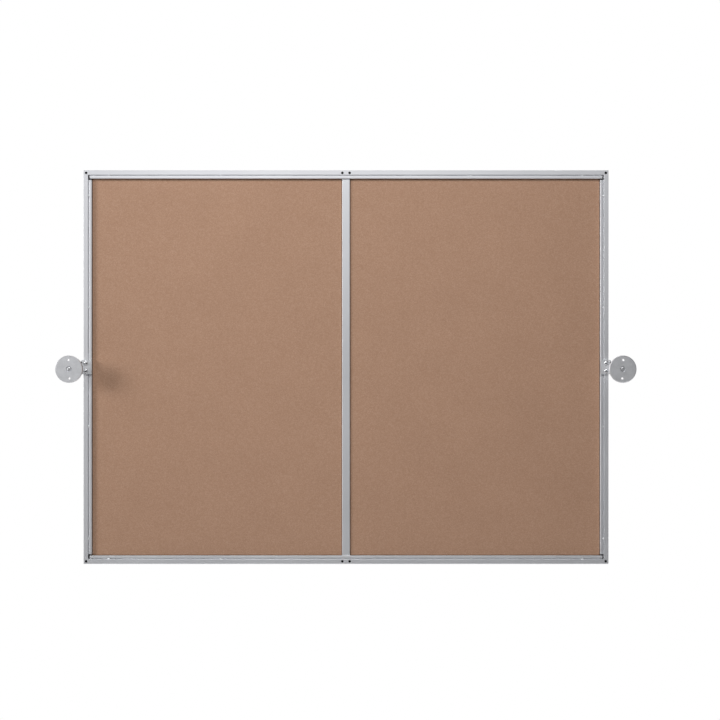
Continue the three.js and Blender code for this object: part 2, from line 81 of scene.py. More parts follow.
frame_low = Vector((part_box("left_stile")[0].x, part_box("top_rail")[0].y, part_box("bottom_rail")[0].z))
frame_high = Vector((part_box("right_stile")[1].x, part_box("top_rail")[1].y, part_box("top_rail")[1].z))
board_middle = (frame_low + frame_high) / 2
rear_face = frame_low.y
board_size = [round(v / MM, 1) for v in frame_high - frame_low]
print("board", board_size, "mm, rear face at", round(rear_face / MM, 1))

# %% [markdown]
# ## Colours and node helpers
# Colours are picked as sRGB hex values, the way a paint chart gives them, and one function turns them to the
# linear values that the renderer adds and multiplies. One more function adds a shader node with its settings.

# %% Colour and node helpers


def tint(code):
    channels = [int(code[i:i + 2], 16) / 255 for i in (1, 3, 5)]
    return (*[c / 12.92 if c <= 0.04045 else ((c + 0.055) / 1.055) ** 2.4 for c in channels], 1.0)


def add_node(tree, kind, settings=None, **inputs):
    """Adds a node; an input is given by its name, with _ for a space, as a value or as a socket to link."""
    made = tree.nodes.new(kind)
    for key, value in (settings or {}).items():
        setattr(made, key, value)
    for key, value in inputs.items():
        wanted = key.replace("_", " ")
        socket = next(s for s in made.inputs if s.name == wanted and s.enabled)
        if isinstance(value, bpy.types.NodeSocket):
            tree.links.new(value, socket)
        else:
            socket.default_value = value
    return made


def new_material(name):
    material = bpy.data.materials.new(name)
    material.use_nodes = True
    tree = material.node_tree
    shader = tree.nodes["Principled BSDF"]
    place = add_node(tree, "ShaderNodeTexCoord").outputs["Object"]
    return material, tree, shader, place


def stretched(tree, place, scale):
    return add_node(tree, "ShaderNodeMapping", Vector=place, Scale=scale).outputs["Vector"]


def ramp(tree, value, stops):
    made = add_node(tree, "ShaderNodeValToRGB", Fac=value)
    elements = made.color_ramp.elements
    while len(elements) < len(stops):
        elements.new(0.5)
    for element, (position, colour) in zip(elements, stops):
        element.position = position
        element.color = colour
    return made.outputs["Color"]


def spread(tree, value, low, high):
    """Turns a pattern that runs from 0 to 1 into one that runs from low to high."""
    return add_node(tree, "ShaderNodeMapRange", Value=value, To_Min=low, To_Max=high).outputs["Result"]


def bump(tree, height, depth, strength=1.0):
    made = add_node(tree, "ShaderNodeBump", Height=height, Distance=depth, Strength=strength)
    return made.outputs["Normal"]


print("white is", tint("#FFFFFF"), "and middle grey is", round(tint("#808080")[0], 3))

# %% [markdown]
# ## Anodised aluminium, drawn through a die
# The frame sections are pushed through a die, so faint lines run along their length, and then anodised to an
# even satin silver. A noise pattern is stretched until it is hundreds of times longer than it is wide. It
# shakes the roughness and a shallow bump. The lines on the real metal are some 0.1 mm apart and vanish at
# this distance, so they are drawn at about 0.7 mm. Sections that run along X and along Z each need their own
# stretch, so one function makes both.

# %% Make the two frame finishes
DIE_LINE = 0.7 * MM
LINE_LENGTH = 1500 * MM
SATIN_CLOUD = 250 * MM
SATIN_ROUGHNESS = (0.53, 0.60)


def anodised_aluminium(name, along):
    material, tree, shader, place = new_material(name)
    scale = [1 / DIE_LINE] * 3
    scale["XYZ".index(along)] = 1 / LINE_LENGTH
    lines = add_node(tree, "ShaderNodeTexNoise", Vector=stretched(tree, place, scale), Scale=1.0, Detail=3.0)
    cloud = add_node(tree, "ShaderNodeTexNoise", Vector=place, Scale=1 / SATIN_CLOUD, Detail=2.0)
    mixed = add_node(tree, "ShaderNodeMath", {"operation": "MULTIPLY_ADD"})
    tree.links.new(lines.outputs["Fac"], mixed.inputs[0])
    mixed.inputs[1].default_value = 0.6
    tree.links.new(cloud.outputs["Fac"], mixed.inputs[2])
    colour = ramp(tree, mixed.outputs[0], [(0.45, tint("#DEDFE3")), (1.1, tint("#EBECEF"))])
    tree.links.new(colour, shader.inputs["Base Color"])
    shader.inputs["Metallic"].default_value = 1.0
    tree.links.new(spread(tree, lines.outputs["Fac"], *SATIN_ROUGHNESS), shader.inputs["Roughness"])
    tree.links.new(bump(tree, lines.outputs["Fac"], 0.02 * MM, 0.3), shader.inputs["Normal"])
    return material


aluminium_along_x = anodised_aluminium("anodised_aluminium_along_x", "X")
aluminium_along_z = anodised_aluminium("anodised_aluminium_along_z", "Z")
print("frame finishes:", aluminium_along_x.name, aluminium_along_z.name)

# %% [markdown]
# ## Cast and blasted metal for the mounts
# The wall plates, posts, blocks and arms are duller than the frame. Blasting a casting with fine grit leaves
# pits about 0.3 mm across, which scatter the light and give a flat grey. Two noise sizes make it: a fine one
# for the pits and a broad one for the slow change in tone that a casting has. The pits are drawn at 1.6 mm,
# because finer ones vanish from a few metres away.

# %% Make the blasted finish
GRIT = 1.6 * MM
CAST_CLOUD = 14 * MM
BLASTED_ROUGHNESS = (0.48, 0.66)


def blasted_casting(name):
    material, tree, shader, place = new_material(name)
    pits = add_node(tree, "ShaderNodeTexNoise", Vector=place, Scale=1 / GRIT, Detail=4.0, Roughness=0.65)
    cloud = add_node(tree, "ShaderNodeTexNoise", Vector=place, Scale=1 / CAST_CLOUD, Detail=3.0)
    mixed = add_node(tree, "ShaderNodeMath", {"operation": "MULTIPLY_ADD"})
    tree.links.new(pits.outputs["Fac"], mixed.inputs[0])
    mixed.inputs[1].default_value = 0.7
    tree.links.new(cloud.outputs["Fac"], mixed.inputs[2])
    colour = ramp(tree, mixed.outputs[0], [(0.55, tint("#DBDCDF")), (1.15, tint("#EAEBEE"))])
    tree.links.new(colour, shader.inputs["Base Color"])
    shader.inputs["Metallic"].default_value = 1.0
    tree.links.new(spread(tree, pits.outputs["Fac"], *BLASTED_ROUGHNESS), shader.inputs["Roughness"])
    tree.links.new(bump(tree, pits.outputs["Fac"], 0.16 * MM, 0.8), shader.inputs["Normal"])
    return material


mount_metal = blasted_casting("blasted_casting")
print("mount finish:", mount_metal.name)

# %% [markdown]
# ## Plated, blackened and moulded small parts
# Zinc plating is bright, slightly blue, and a little uneven from the bath. Black oxide is a thin dark skin on
# steel that keeps a dull shine. The nylon washers and the black keys inside the corners are moulded plastic.

# %% Make the small parts' finishes
PLATING_CLOUD = 2.5 * MM
OXIDE_CLOUD = 1.2 * MM
MOULD_GRAIN = 0.6 * MM


def clouded(name, grain, dark, light, roughness, metallic, depth):
    material, tree, shader, place = new_material(name)
    cloud = add_node(tree, "ShaderNodeTexNoise", Vector=place, Scale=1 / grain, Detail=3.0)
    colour = ramp(tree, cloud.outputs["Fac"], [(0.3, tint(dark)), (0.7, tint(light))])
    tree.links.new(colour, shader.inputs["Base Color"])
    shader.inputs["Metallic"].default_value = metallic
    tree.links.new(spread(tree, cloud.outputs["Fac"], *roughness), shader.inputs["Roughness"])
    tree.links.new(bump(tree, cloud.outputs["Fac"], depth, 0.5), shader.inputs["Normal"])
    return material


zinc_plate = clouded("zinc_plated_steel", PLATING_CLOUD, "#D5D7DA", "#E6E7E8", (0.16, 0.30), 1.0, 0.02 * MM)
black_oxide = clouded("black_oxide_steel", OXIDE_CLOUD, "#040404", "#080809", (0.60, 0.75), 0.0, 0.02 * MM)
black_oxide.node_tree.nodes["Principled BSDF"].inputs["Specular IOR Level"].default_value = 0.2
black_nylon = clouded("moulded_black_nylon", MOULD_GRAIN, "#121213", "#1D1D1F", (0.50, 0.66), 0.0, 0.03 * MM)
white_nylon = clouded("natural_nylon", MOULD_GRAIN, "#DDDACD", "#E9E7DC", (0.40, 0.52), 0.0, 0.02 * MM)
print("small parts:", [m.name for m in (zinc_plate, black_oxide, black_nylon, white_nylon)])

# %% [markdown]
# A punch breaks through the anodised skin and burnishes the bare metal under it, so the stakes between the
# frame and its bead are brighter and smoother than the sections round them. The screws in the wall plates are
# zinc too, but dulled by tumbling.

# %% Make the burnished and the tumbled finish
PUNCH_GRAIN = 0.8 * MM
burnished = clouded("punched_bare_aluminium", PUNCH_GRAIN, "#E4E5E7", "#F1F1F2", (0.30, 0.42), 1.0, 0.02 * MM)
tumbled_zinc = clouded("tumbled_zinc_steel", PLATING_CLOUD, "#C9CACD", "#DDDEE0",
                       (0.42, 0.55), 1.0, 0.03 * MM)
print("finishes:", burnished.name, tumbled_zinc.name)

# %% [markdown]
# ## Fine-grain cork
# Board cork is ground bark pressed with a binder and sliced into sheets. Each granule has its own brown, and
# a thin darker line of binder runs round it. A Voronoi pattern gives both: its cells are the granules, and
# the distance to the cell's edge is the binder line. The granules of fine cork are about 1 mm across. They
# are drawn at 1.6 mm and with little contrast, because the sheet has to read as one even brown from a few
# metres. Below the sheet's face the brown darkens with depth, as painted shade in the gap along the metal.

# %% Make the cork
GRANULE = 1.6 * MM
CORK_CLOUD = 90 * MM
# Painted shade in the gap along the metal: none above the first depth below the cork's face, full below the
# second.
UNSHADED_DEPTH = 0.3 * MM
FULL_SHADE_DEPTH = 1.4 * MM

cork_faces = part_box("left_rear_cork")[0].y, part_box("left_front_cork")[1].y
face_depth = (cork_faces[1] - cork_faces[0]) / 2
cork_middle = sum(cork_faces) / 2


def pressed_cork(name):
    material, tree, shader, place = new_material(name)
    wander = add_node(tree, "ShaderNodeTexNoise", Vector=place, Scale=1 / (1.5 * GRANULE), Detail=2.0)
    offset = add_node(tree, "ShaderNodeVectorMath", {"operation": "MULTIPLY_ADD"})
    tree.links.new(wander.outputs["Color"], offset.inputs[0])
    offset.inputs[1].default_value = [GRANULE * 0.6] * 3
    tree.links.new(place, offset.inputs[2])
    cells = add_node(tree, "ShaderNodeTexVoronoi", Vector=offset.outputs[0], Scale=1 / GRANULE)
    edges = add_node(tree, "ShaderNodeTexVoronoi", {"feature": "DISTANCE_TO_EDGE"},
                     Vector=offset.outputs[0], Scale=1 / GRANULE)
    shade = add_node(tree, "ShaderNodeSeparateColor", Color=cells.outputs["Color"])
    granules = ramp(tree, shade.outputs["Red"],
                    [(0.0, tint("#AA846B")), (0.55, tint("#B28D74")), (1.0, tint("#B9967F"))])
    binder = ramp(tree, edges.outputs["Distance"], [(0.0, (0.90, 0.89, 0.88, 1)), (0.12, (1, 1, 1, 1))])
    lined = add_node(tree, "ShaderNodeMix", {"data_type": "RGBA", "blend_type": "MULTIPLY"})
    lined.inputs["Factor"].default_value = 1.0
    tree.links.new(granules, lined.inputs[6])
    tree.links.new(binder, lined.inputs[7])
    cloud = add_node(tree, "ShaderNodeTexNoise", Vector=place, Scale=1 / CORK_CLOUD, Detail=4.0)
    tone = ramp(tree, cloud.outputs["Fac"], [(0.3, (0.96, 0.955, 0.95, 1)), (0.7, (1, 1, 1, 1))])
    toned = add_node(tree, "ShaderNodeMix", {"data_type": "RGBA", "blend_type": "MULTIPLY"})
    toned.inputs["Factor"].default_value = 1.0
    tree.links.new(lined.outputs[2], toned.inputs[6])
    tree.links.new(tone, toned.inputs[7])
    parts = add_node(tree, "ShaderNodeSeparateXYZ", Vector=place)
    from_middle = add_node(tree, "ShaderNodeMath", {"operation": "SUBTRACT"})
    tree.links.new(parts.outputs["Y"], from_middle.inputs[0])
    from_middle.inputs[1].default_value = cork_middle
    outward_depth = add_node(tree, "ShaderNodeMath", {"operation": "ABSOLUTE"})
    tree.links.new(from_middle.outputs[0], outward_depth.inputs[0])
    open_air = add_node(tree, "ShaderNodeMapRange", Value=outward_depth.outputs[0],
                        From_Min=face_depth - FULL_SHADE_DEPTH, From_Max=face_depth - UNSHADED_DEPTH)
    # Painted shade: the cork's brown is multiplied down to 0.3 on faces that lie deeper than the gap's rim.
    painted_gap_shade = ramp(tree, open_air.outputs["Result"], [(0.0, (0.30, 0.28, 0.26, 1)), (1.0, (1, 1, 1, 1))])
    gap_shaded_colour = add_node(tree, "ShaderNodeMix", {"data_type": "RGBA", "blend_type": "MULTIPLY"})
    gap_shaded_colour.inputs["Factor"].default_value = 1.0
    tree.links.new(toned.outputs[2], gap_shaded_colour.inputs[6])
    tree.links.new(painted_gap_shade, gap_shaded_colour.inputs[7])
    tree.links.new(gap_shaded_colour.outputs[2], shader.inputs["Base Color"])
    shader.inputs["Roughness"].default_value = 0.93
    shader.inputs["Sheen Weight"].default_value = 0.04
    raised = spread(tree, edges.outputs["Distance"], 0.0, 1.0)
    tree.links.new(bump(tree, raised, 0.12 * MM, 0.3), shader.inputs["Normal"])
    return material


cork = pressed_cork("pressed_cork")
print("cork granules drawn at", round(GRANULE / MM, 1), "mm")

# %% [markdown]
# ## Fibreboard core
# The core between the cork sheets is pressed wood fibre. It shows only inside the open corner gaps, so a
# short fibre pattern in two browns is enough.

# %% Make the fibreboard
FIBRE = 1.8 * MM
fibreboard = clouded("pressed_fibreboard", FIBRE, "#6E5640", "#8C7155", (0.82, 0.95), 0.0, 0.1 * MM)
print("core finish:", fibreboard.name)

# %% [markdown]
# ## Making and finishing a mesh
# A machined or extruded edge is never perfectly sharp: it carries a rounding of a few tenths of a millimetre,
# and that rounding is what catches the light along every edge. So each hard piece is built true to size and
# then softened by a Bevel modifier that acts only on corners, with hardened normals to keep flat faces flat.
# The modifier is turned into plain mesh straight away.

# %% Mesh helpers


def new_object(name, vertices, faces):
    mesh = bpy.data.meshes.new(name)
    mesh.from_pydata(vertices, [], faces)
    made = bpy.data.objects.new(name, mesh)
    bpy.context.scene.collection.objects.link(made)
    return made


def applied(made):
    """Turns an object's modifiers into plain mesh."""
    evaluated = made.evaluated_get(bpy.context.evaluated_depsgraph_get())
    mesh = bpy.data.meshes.new_from_object(evaluated)
    old = made.data
    made.modifiers.clear()
    made.data = mesh
    mesh.name = made.name
    bpy.data.meshes.remove(old)
    return made


def outward(made):
    """Merges doubled corners and turns every face outwards."""
    work = bmesh.new()
    work.from_mesh(made.data)
    bmesh.ops.remove_doubles(work, verts=work.verts, dist=0.001 * MM)
    bmesh.ops.recalc_face_normals(work, faces=work.faces)
    work.to_mesh(made.data)
    work.free()
    return made


def softened(made, width, segments=3, angle=30):
    made.data.shade_smooth()
    bevel = made.modifiers.new("edge", "BEVEL")
    bevel.width = width * MM
    bevel.segments = segments
    bevel.limit_method = "ANGLE"
    bevel.angle_limit = math.radians(angle)
    bevel.harden_normals = True
    return applied(made)


def combined(made, other, operation):
    solver = made.modifiers.new("with", "BOOLEAN")
    solver.operation = operation
    solver.solver = "EXACT"
    solver.object = other
    applied(made)
    old = other.data
    bpy.data.objects.remove(other)
    bpy.data.meshes.remove(old)
    return made


def finish_piece(made, nodes, body, material):
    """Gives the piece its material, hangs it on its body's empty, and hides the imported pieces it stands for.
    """
    made.data.materials.clear()
    made.data.materials.append(material)
    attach(made, body)
    if nodes:
        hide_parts(*nodes)
    print(f"{made.name}: {len(made.data.polygons)} faces, moves with {body}")
    return made


# %% [markdown]
# ## Basic shapes
# Most of the hardware is either turned, so a profile spun round the Y axis gives it, or cut from plate, so an
# outline pushed along one axis gives it. Both functions close their ends and take millimetres.

# %% Turned and plate shapes
ROUND = 96
SMALL_ROUND = 48


def turned(name, profile, segments=SMALL_ROUND, ring=False):
    """Spins [radius, depth] points round the Y axis. A ring's profile closes on itself, not on the axis."""
    vertices, rows = [], []
    for radius, depth in profile:
        if radius == 0:
            rows.append([len(vertices)] * segments)
            vertices.append((0, depth * MM, 0))
            continue
        rows.append(list(range(len(vertices), len(vertices) + segments)))
        for step in range(segments):
            angle = 2 * math.pi * step / segments
            vertices.append((radius * math.cos(angle) * MM, depth * MM, radius * math.sin(angle) * MM))
    pairs = list(zip(rows, rows[1:])) + ([(rows[-1], rows[0])] if ring else [])
    faces = []
    for first, second in pairs:
        for a, b, c, d in zip(first, first[1:] + first[:1], second[1:] + second[:1], second):
            corners = list(dict.fromkeys((a, b, c, d)))
            if len(corners) > 2:
                faces.append(corners)
    return outward(new_object(name, vertices, faces))


def plate(name, outline, start, end, axis="Y"):
    """Pushes an outline along an axis: drawn in (x, z) for Y and in (y, z) for X."""
    def corner(a, b, along):
        return (a * MM, along * MM, b * MM) if axis == "Y" else (along * MM, a * MM, b * MM)
    count = len(outline)
    vertices = [corner(a, b, start) for a, b in outline] + [corner(a, b, end) for a, b in outline]
    faces = [list(range(count)), list(range(count, 2 * count))]
    faces += [[i, (i + 1) % count, count + (i + 1) % count, count + i] for i in range(count)]
    return outward(new_object(name, vertices, faces))


def arc(x, y, radius, first, last, steps=12):
    """Points on an arc, with its angles in degrees."""
    angles = [math.radians(first + (last - first) * i / steps) for i in range(steps + 1)]
    return [(x + radius * math.cos(a), y + radius * math.sin(a)) for a in angles]


def moved(made, x=0.0, y=0.0, z=0.0, turn=None):
    """Places a mesh, in millimetres, and leaves its object at the origin."""
    if turn is not None:
        made.data.transform(Euler([math.radians(a) for a in turn]).to_matrix().to_4x4())
    made.data.transform(Matrix.Translation(Vector((x, y, z)) * MM))
    return made


def rod(name, radius, x, y, z, start, end, axis="Y", segments=SMALL_ROUND):
    made = turned(name, [(0, start), (radius, start), (radius, end), (0, end)], segments)
    if axis == "X":
        moved(made, turn=(0, 0, -90))
    return moved(made, x, y, z)


print("round edges use", ROUND, "and", SMALL_ROUND, "steps")

# %% [markdown]
# ## The frame, the beads and the centre bar
# These are lengths of extruded section, mitred or cut square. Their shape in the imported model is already
# right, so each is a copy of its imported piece, with the corners merged, the flat faces joined and the edges
# rounded by a quarter of a millimetre. The die lines run along each length.

# %% Refine the extruded lengths
EXTRUDED_EDGE = 0.25


def refined(node, edge):
    source = frame["nodes"][node].data
    vertices = [v.co.copy() for v in source.vertices]
    faces = [tuple(p.vertices) for p in source.polygons]
    made = new_object(node + "_fine", vertices, faces)
    work = bmesh.new()
    work.from_mesh(made.data)
    bmesh.ops.remove_doubles(work, verts=work.verts, dist=0.002 * MM)
    bmesh.ops.dissolve_limit(work, angle_limit=math.radians(0.5), verts=work.verts, edges=work.edges)
    work.to_mesh(made.data)
    work.free()
    return softened(made, edge)


for node in ("top_rail", "bottom_rail", "top_bead", "bottom_bead"):
    finish_piece(refined(node, EXTRUDED_EDGE), [node], "board", aluminium_along_x)
for node in ("left_stile", "right_stile", "left_bead", "right_bead", "centre_bar"):
    finish_piece(refined(node, EXTRUDED_EDGE), [node], "board", aluminium_along_z)

# %% [markdown]
# ## Stakes across the groove
# The bead is held to the frame by small stakes: at set places a punch pushes the metal up across the groove,
# and leaves a low bright hump. They repeat along a path by a rule, which is what Geometry Nodes are for. The
# path is one line along the middle of each groove. The tree trims a set distance off both ends, places two
# points on what is left, and sets one hump at each, turned to lie along the line.

# %% Build the stake tree
STAKE_END = 58
STAKE_SPACING = 256
STAKE_LENGTH = 6.5
STAKE_WIDTH = 3.0
STAKE_RISE = 2.38


def tree_with(name, sockets):
    tree = bpy.data.node_groups.new(name, "GeometryNodeTree")
    for label, kind in [("Geometry", "Geometry"), *sockets]:
        tree.interface.new_socket(label, in_out="INPUT", socket_type="NodeSocket" + kind)
    tree.interface.new_socket("Geometry", in_out="OUTPUT", socket_type="NodeSocketGeometry")
    return tree, add_node(tree, "NodeGroupInput").outputs


def closed_tree(tree, instances, finish):
    """Ends a tree the way the export needs it: real meshes with their material set."""
    real = add_node(tree, "GeometryNodeRealizeInstances", Geometry=instances)
    painted = add_node(tree, "GeometryNodeSetMaterial", Geometry=real.outputs["Geometry"], Material=finish)
    add_node(tree, "NodeGroupOutput", Geometry=painted.outputs["Geometry"])
    return tree


def grown(made, tree, values):
    """Runs a tree on an object with its named inputs set, and keeps the plain mesh."""
    modifier = made.modifiers.new(tree.name, "NODES")
    modifier.node_group = tree
    names = {s.name: s.identifier for s in tree.interface.items_tree if s.in_out == "INPUT"}
    for name, value in values.items():
        modifier[names[name]] = value
    return applied(made)


stake_tree, given = tree_with("stakes_along_groove", [
    ("Hump", "Object"), ("End Distance", "Float"), ("Spacing", "Float"), ("Finish", "Material")])
line = add_node(stake_tree, "GeometryNodeMeshToCurve", Mesh=given["Geometry"])
length = add_node(stake_tree, "GeometryNodeSplineLength")
reach = add_node(stake_tree, "ShaderNodeMath", {"operation": "ADD"})
stake_tree.links.new(given["End Distance"], reach.inputs[0])
stake_tree.links.new(given["Spacing"], reach.inputs[1])
far_start = add_node(stake_tree, "ShaderNodeMath", {"operation": "SUBTRACT"})
stake_tree.links.new(length.outputs["Length"], far_start.inputs[0])
stake_tree.links.new(reach.outputs[0], far_start.inputs[1])
far_end = add_node(stake_tree, "ShaderNodeMath", {"operation": "SUBTRACT"})
stake_tree.links.new(length.outputs["Length"], far_end.inputs[0])
stake_tree.links.new(given["End Distance"], far_end.inputs[1])
near_part = add_node(stake_tree, "GeometryNodeTrimCurve", {"mode": "LENGTH"}, Curve=line.outputs["Curve"],
                     Start=given["End Distance"], End=reach.outputs[0])
far_part = add_node(stake_tree, "GeometryNodeTrimCurve", {"mode": "LENGTH"}, Curve=line.outputs["Curve"],
                    Start=far_start.outputs[0], End=far_end.outputs[0])
parts = add_node(stake_tree, "GeometryNodeJoinGeometry")
stake_tree.links.new(near_part.outputs["Curve"], parts.inputs[0])
stake_tree.links.new(far_part.outputs["Curve"], parts.inputs[0])
stops = add_node(stake_tree, "GeometryNodeCurveToPoints", {"mode": "COUNT"}, Curve=parts.outputs[0], Count=2)
lying = add_node(stake_tree, "FunctionNodeAlignRotationToVector", {"axis": "X"},
                 Vector=stops.outputs["Tangent"])
hump_info = add_node(stake_tree, "GeometryNodeObjectInfo", Object=given["Hump"], As_Instance=True)
humps = add_node(stake_tree, "GeometryNodeInstanceOnPoints", Points=stops.outputs["Points"],
                 Instance=hump_info.outputs["Geometry"], Rotation=lying.outputs["Rotation"])
closed_tree(stake_tree, humps.outputs["Instances"], given["Finish"])
print("stake tree has", len(stake_tree.nodes), "nodes")

# %% [markdown]
# One hump is the top of a long egg, closed underneath. Its crown stays just below the frame's face.

# %% Set the stakes
GROOVE_MIDDLE = 11.55  # from the frame's outer edge
GROOVE_FLOOR = 2.4  # below the frame's rear face
HUMP_RINGS = 6
HUMP_STEPS = 28


def hump(name):
    vertices, faces = [(0, -STAKE_RISE * MM, 0)], []
    for ring in range(1, HUMP_RINGS + 1):
        polar = math.pi / 2 * ring / HUMP_RINGS
        for step in range(HUMP_STEPS):
            angle = 2 * math.pi * step / HUMP_STEPS
            wide = math.sin(polar)
            vertices.append((STAKE_LENGTH / 2 * wide * math.cos(angle) * MM,
                             -STAKE_RISE * math.cos(polar) * MM,
                             STAKE_WIDTH / 2 * wide * math.sin(angle) * MM))
    for step in range(HUMP_STEPS):
        after = (step + 1) % HUMP_STEPS
        faces.append((0, 1 + step, 1 + after))
        for ring in range(HUMP_RINGS - 1):
            a, b = 1 + ring * HUMP_STEPS, 1 + (ring + 1) * HUMP_STEPS
            faces.append((a + step, b + step, b + after, a + after))
    faces.append([1 + (HUMP_RINGS - 1) * HUMP_STEPS + s for s in range(HUMP_STEPS)])
    made = outward(new_object(name, vertices, faces))
    made.data.shade_smooth()
    return made


stake_depth = rear_face + GROOVE_FLOOR * MM
inset = GROOVE_MIDDLE * MM
left_x, right_x = frame_low.x + inset, frame_high.x - inset
low_z, high_z = frame_low.z + inset, frame_high.z - inset
groove_ends = {
    "top": ((frame_low.x, stake_depth, high_z), (frame_high.x, stake_depth, high_z)),
    "bottom": ((frame_low.x, stake_depth, low_z), (frame_high.x, stake_depth, low_z)),
    "left": ((left_x, stake_depth, frame_low.z), (left_x, stake_depth, frame_high.z)),
    "right": ((right_x, stake_depth, frame_low.z), (right_x, stake_depth, frame_high.z)),
}
stake_master = hump("stake_master")
for direction, names in (("x", ("top", "bottom")), ("z", ("left", "right"))):
    corners = [Vector(end) for name in names for end in groove_ends[name]]
    lines = new_object(f"groove_stakes_{direction}", corners, [])
    lines.data.edges.add(len(names))
    lines.data.edges.foreach_set("vertices", list(range(2 * len(names))))
    grown(lines, stake_tree, {"Hump": stake_master, "End Distance": STAKE_END * MM,
                              "Spacing": STAKE_SPACING * MM, "Finish": burnished})
    finish_piece(lines, [], "board", burnished)
bpy.data.objects.remove(stake_master)

# %% [markdown]
# ## The cork sheets
# Each panel has a cork sheet on both faces. A pressed sheet is never dead flat: it carries the print of its
# granules and a slow swell from the glue. A single flat face can't show that, so each sheet is a closed slab
# whose outer face is a grid of small faces, pushed in by noise by no more than 0.14 mm. The corners are
# clipped where the corner keys need room. Along the metal the sheet is stepped down, which leaves the narrow
# dark gap seen all round each panel.

# %% Lay the cork sheets
CORNER_CLIP = 12.4
CORK_STEP = 4.5
SWELL = 0.09
PRINT = 0.05
SWELL_SIZE = 110
PRINT_SIZE = 7
EDGE_GAP = 1.3
EDGE_DROP = 1.7
STEP_WALL = 0.02


def steps_between(start, end, step):
    """Evenly spaced stations from start to end, about a step apart."""
    count = round((end - start) / step)
    return [start + (end - start) * i / count for i in range(count + 1)]


def cork_sheet(node, outer_face):
    """outer_face is -1 where the cork shows towards the wall and 1 where it shows towards the room."""
    low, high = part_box(node)
    outer_side = -1 if centre(node).x < 0 else 1
    x_outer = low.x if outer_side < 0 else high.x
    x_inner = high.x if outer_side < 0 else low.x
    width, half_height = abs(x_outer - x_inner), (high.z - low.z) / 2
    clip, gap, wall = CORNER_CLIP * MM, EDGE_GAP * MM, STEP_WALL * MM
    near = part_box("centre_bar")[1].x + gap - abs(x_inner)
    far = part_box("right_bead")[0].x - gap - abs(x_inner)
    top_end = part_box("top_bead")[0].z - gap - board_middle.z
    columns = [0.0, near - wall] + steps_between(near, far, CORK_STEP * MM)
    columns += [far + wall, width - clip / 2, width]
    upper = [top_end + wall, half_height]
    heights = [-h for h in reversed(upper)] + steps_between(-top_end, top_end, CORK_STEP * MM) + upper
    rows = len(heights) - 1
    shown, hidden = (low.y, high.y) if outer_face < 0 else (high.y, low.y)
    vertices = []
    for layer in (shown, hidden):
        for across in columns:
            top = half_height - max(0.0, across - (width - clip))
            x = x_inner + outer_side * across
            for height in heights:
                under_bead = across > far + wall
                if under_bead:
                    height *= top / half_height
                z = board_middle.z + max(-top, min(top, height))
                y = layer
                if layer == shown:
                    # The stepped-down cork lies below the face, and the cork material paints shade on it there.
                    stepped = not (near <= across <= far and abs(height) <= top_end) or under_bead
                    place = Vector((x, 0.0, z)) / MM
                    swell = (noise_field.noise(place / SWELL_SIZE) + 1) / 2 * SWELL
                    grain = (noise_field.noise(place / PRINT_SIZE) + 1) / 2 * PRINT
                    y -= outer_face * (EDGE_DROP if stepped else swell + grain) * MM
                vertices.append((x, y, z))
    tall = rows + 1
    count = len(columns) * tall
    faces = []
    for i in range(len(columns) - 1):
        for j in range(rows):
            a = i * tall + j
            faces.append((a, a + tall, a + tall + 1, a + 1))
    rim = list(range(tall))
    rim += [i * tall + rows for i in range(1, len(columns))]
    rim += [(len(columns) - 1) * tall + j for j in range(rows - 1, -1, -1)]
    rim += [i * tall for i in range(len(columns) - 2, 0, -1)]
    faces += [(a, b, b + count, a + count) for a, b in zip(rim, rim[1:] + rim[:1])]
    faces.append([a + count for a in rim])
    made = outward(new_object(node + "_fine", vertices, faces))
    made.data.shade_smooth()
    made.data.set_sharp_from_angle(angle=math.radians(30))
    return made


for side in SIDES:
    for layer, outer_face in (("rear", -1), ("front", 1)):
        node = f"{side}_{layer}_cork"
        finish_piece(cork_sheet(node, outer_face), [node], "board", cork)

# %% [markdown]
# ## Setting screws and rivets with one tree
# Every kind of screw is made once, lying along Y with its head towards the wall, and the same tree sets it at
# each of its places. A fitter stops a screw wherever it is tight, so its slot points any way: a seeded random
# turn gives each copy its own angle.

# %% Build the screw tree
SCREW_SEED = 7

screw_tree, given = tree_with("set_screws", [
    ("Screw", "Object"), ("Axis", "Vector"), ("Widest Turn", "Float"), ("Seed", "Int"),
    ("Finish", "Material")])
screw_info = add_node(screw_tree, "GeometryNodeObjectInfo", Object=given["Screw"], As_Instance=True)
any_turn = add_node(screw_tree, "FunctionNodeRandomValue", {"data_type": "FLOAT"},
                    Min=0.0, Max=given["Widest Turn"], Seed=given["Seed"])
turning = add_node(screw_tree, "FunctionNodeAxisAngleToRotation", Axis=given["Axis"],
                   Angle=next(s for s in any_turn.outputs if s.enabled))
screws = add_node(screw_tree, "GeometryNodeInstanceOnPoints", Points=given["Geometry"],
                  Instance=screw_info.outputs["Geometry"], Rotation=turning.outputs["Rotation"])
closed_tree(screw_tree, screws.outputs["Instances"], given["Finish"])


def set_screws(name, master, nodes, body, material, axis=(0, 1, 0), widest=360):
    """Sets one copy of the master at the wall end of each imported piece."""
    places = [Vector((centre(n).x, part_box(n)[0].y, centre(n).z)) for n in nodes]
    if axis[0]:
        places = [centre(n) for n in nodes]
    made = grown(new_object(name, places, []), screw_tree, {
        "Screw": master, "Axis": axis, "Widest Turn": math.radians(widest), "Seed": SCREW_SEED,
        "Finish": material})
    old = master.data
    bpy.data.objects.remove(master)
    bpy.data.meshes.remove(old)
    return finish_piece(made, nodes, body, material)


print("screw tree has", len(screw_tree.nodes), "nodes")

# %% [markdown]
# ## Recesses in the heads
# A cross recess is two crossed wedges that narrow towards the bottom. A hex socket is a plain six-sided
# hole. Each is made as a solid and cut out of the head.

# %% Cutters for the recesses
CUTTER_ABOVE = 0.6


